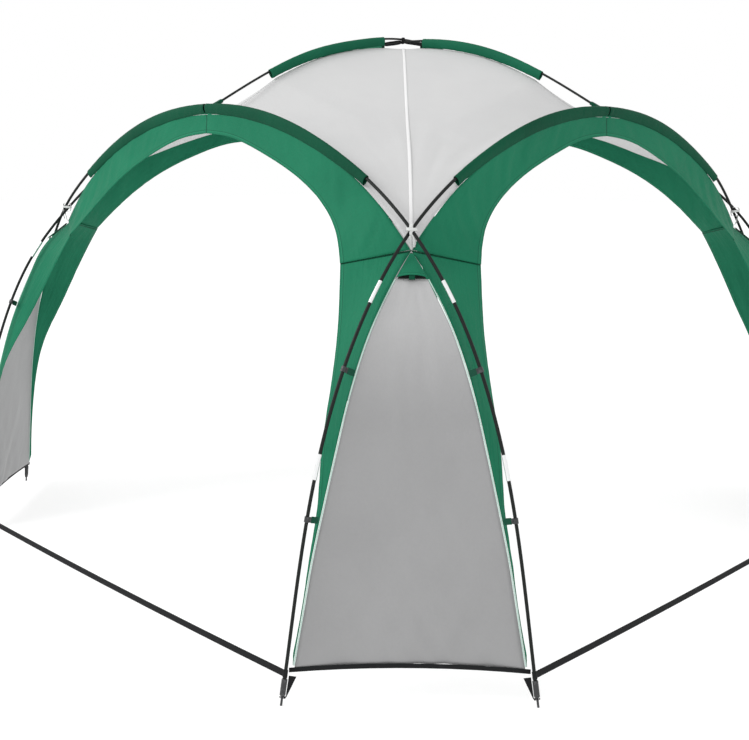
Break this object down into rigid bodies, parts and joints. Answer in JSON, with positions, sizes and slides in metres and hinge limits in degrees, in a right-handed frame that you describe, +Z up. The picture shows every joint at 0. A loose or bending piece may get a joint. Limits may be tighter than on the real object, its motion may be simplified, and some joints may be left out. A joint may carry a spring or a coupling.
{
  "type": "dome event shelter",
  "caption": "Open-sided square fabric shelter on crossing arch poles, with a domed roof, arch visors and four corner legs with grey panels.",
  "frame": {"origin": "on the ground under the apex, at the middle of the footprint", "axes": "+Z up; the four open sides face -Y (front), +X (right), +Y (back) and -X (left); the legs are on the diagonals"},
  "size_m": [3.5102, 3.5102, 2.328],
  "materials": {
    "green_cloth": "matte coated polyester",
    "dark_green_cloth": "matte coated polyester",
    "roof_cloth": "matte coated polyester",
    "panel_cloth": "satin coated polyester",
    "seam_tape": "smooth tape",
    "piping": "woven piping",
    "black_webbing": "woven webbing",
    "tie_tape": "woven tape",
    "mesh": "fine mesh",
    "black_pole": "satin wrapped glass fibre",
    "ferrule_metal": "satin",
    "black_plastic": "semi gloss",
    "ring_steel": "black coated"
  },
  "bodies": {
    "shelter": {"apex_tie": "black_webbing", "arch_ferrules": "ferrule_metal", "arch_pole_back": "black_pole", "arch_pole_front": "black_pole", "arch_pole_left": "black_pole", "arch_pole_right": "black_pole", "arch_sleeve_back": "dark_green_cloth", "arch_sleeve_front": "dark_green_cloth", "arch_sleeve_left": "dark_green_cloth", "arch_sleeve_right": "dark_green_cloth", "clip_hooks": "black_plastic", "clip_straps": "dark_green_cloth", "corner_panel_back_left": "panel_cloth", "corner_panel_back_right": "panel_cloth", "corner_panel_front_left": "panel_cloth", "corner_panel_front_right": "panel_cloth", "crossing_ties": "tie_tape", "foot_caps": "black_plastic", "ground_strap_front": "black_webbing", "ground_strap_right": "black_webbing", "hem_webbing": "black_webbing", "leg_piping": "piping", "leg_strips_back_left": "green_cloth", "leg_strips_back_right": "green_cloth", "leg_strips_front_left": "green_cloth", "leg_strips_front_right": "green_cloth", "pole_pockets": "dark_green_cloth", "roof_ferrules": "ferrule_metal", "roof_panel_back_left": "roof_cloth", "roof_panel_back_right": "roof_cloth", "roof_panel_front_left": "roof_cloth", "roof_panel_front_right": "roof_cloth", "roof_pole_front_back": "black_pole", "roof_pole_left_right": "black_pole", "roof_sleeve_back": "dark_green_cloth", "roof_sleeve_front": "dark_green_cloth", "roof_sleeve_left": "dark_green_cloth", "roof_sleeve_right": "dark_green_cloth", "seam_tapes": "seam_tape", "vent_mesh": "mesh", "visor_back": "green_cloth", "visor_front": "green_cloth", "visor_left": "green_cloth", "visor_right": "green_cloth", "webbing_tails": "black_webbing"},
    "vent_hood_front_right": {"vent_hood_front_right": "green_cloth"},
    "vent_hood_back_right": {"vent_hood_back_right": "green_cloth"},
    "vent_hood_back_left": {"vent_hood_back_left": "green_cloth"},
    "vent_hood_front_left": {"vent_hood_front_left": "green_cloth"},
    "foot_ring_front_right_b": {"foot_ring_front_right_b": "ring_steel"},
    "foot_ring_front_left_a": {"foot_ring_front_left_a": "ring_steel"},
    "foot_ring_back_left_b": {"foot_ring_back_left_b": "ring_steel"},
    "foot_ring_back_right_a": {"foot_ring_back_right_a": "ring_steel"},
    "foot_ring_back_right_b": {"foot_ring_back_right_b": "ring_steel"},
    "foot_ring_front_right_a": {"foot_ring_front_right_a": "ring_steel"},
    "foot_ring_front_left_b": {"foot_ring_front_left_b": "ring_steel"},
    "foot_ring_back_left_a": {"foot_ring_back_left_a": "ring_steel"}
  },
  "joints": [
    {"name": "vent_hood_front_right_lift", "type": "hinge", "parent": "shelter", "child": "vent_hood_front_right", "pos_m": [1.16171, -1.16171, 1.4472], "axis": [-0.7071, -0.7071, 0], "range_deg": [-3, 55]},
    {"name": "vent_hood_back_right_lift", "type": "hinge", "parent": "shelter", "child": "vent_hood_back_right", "pos_m": [1.16171, 1.16171, 1.4472], "axis": [0.7071, -0.7071, 0], "range_deg": [-3, 55]},
    {"name": "vent_hood_back_left_lift", "type": "hinge", "parent": "shelter", "child": "vent_hood_back_left", "pos_m": [-1.16171, 1.16171, 1.4472], "axis": [0.7071, 0.7071, 0], "range_deg": [-3, 55]},
    {"name": "vent_hood_front_left_lift", "type": "hinge", "parent": "shelter", "child": "vent_hood_front_left", "pos_m": [-1.16171, -1.16171, 1.4472], "axis": [-0.7071, 0.7071, 0], "range_deg": [-3, 55]},
    {"name": "foot_ring_front_right_b_swing", "type": "hinge", "parent": "shelter", "child": "foot_ring_front_right_b", "pos_m": [1.7399, -1.16085, 0.02652], "axis": [0.7009, -0.7009, 0.1322], "range_deg": [-10, 10]},
    {"name": "foot_ring_front_left_a_swing", "type": "hinge", "parent": "shelter", "child": "foot_ring_front_left_a", "pos_m": [-1.7399, -1.16085, 0.02652], "axis": [-0.7009, -0.7009, 0.1322], "range_deg": [-10, 10]},
    {"name": "foot_ring_back_left_b_swing", "type": "hinge", "parent": "shelter", "child": "foot_ring_back_left_b", "pos_m": [-1.7399, 1.16085, 0.02652], "axis": [-0.7009, 0.7009, 0.1322], "range_deg": [-10, 10]},
    {"name": "foot_ring_back_right_a_swing", "type": "hinge", "parent": "shelter", "child": "foot_ring_back_right_a", "pos_m": [1.7399, 1.16085, 0.02652], "axis": [0.7009, 0.7009, 0.1322], "range_deg": [-10, 10]},
    {"name": "foot_ring_back_right_b_swing", "type": "hinge", "parent": "shelter", "child": "foot_ring_back_right_b", "pos_m": [1.16085, 1.7399, 0.02652], "axis": [0.7009, 0.7009, 0.1324], "range_deg": [-10, 10]},
    {"name": "foot_ring_front_right_a_swing", "type": "hinge", "parent": "shelter", "child": "foot_ring_front_right_a", "pos_m": [1.16085, -1.7399, 0.02652], "axis": [0.7009, -0.7009, 0.1324], "range_deg": [-10, 10]},
    {"name": "foot_ring_front_left_b_swing", "type": "hinge", "parent": "shelter", "child": "foot_ring_front_left_b", "pos_m": [-1.16085, -1.7399, 0.02652], "axis": [-0.7009, -0.7009, 0.1324], "range_deg": [-10, 10]},
    {"name": "foot_ring_back_left_a_swing", "type": "hinge", "parent": "shelter", "child": "foot_ring_back_left_a", "pos_m": [-1.16085, 1.7399, 0.02652], "axis": [-0.7009, 0.7009, 0.1324], "range_deg": [-10, 10]}
  ]
}
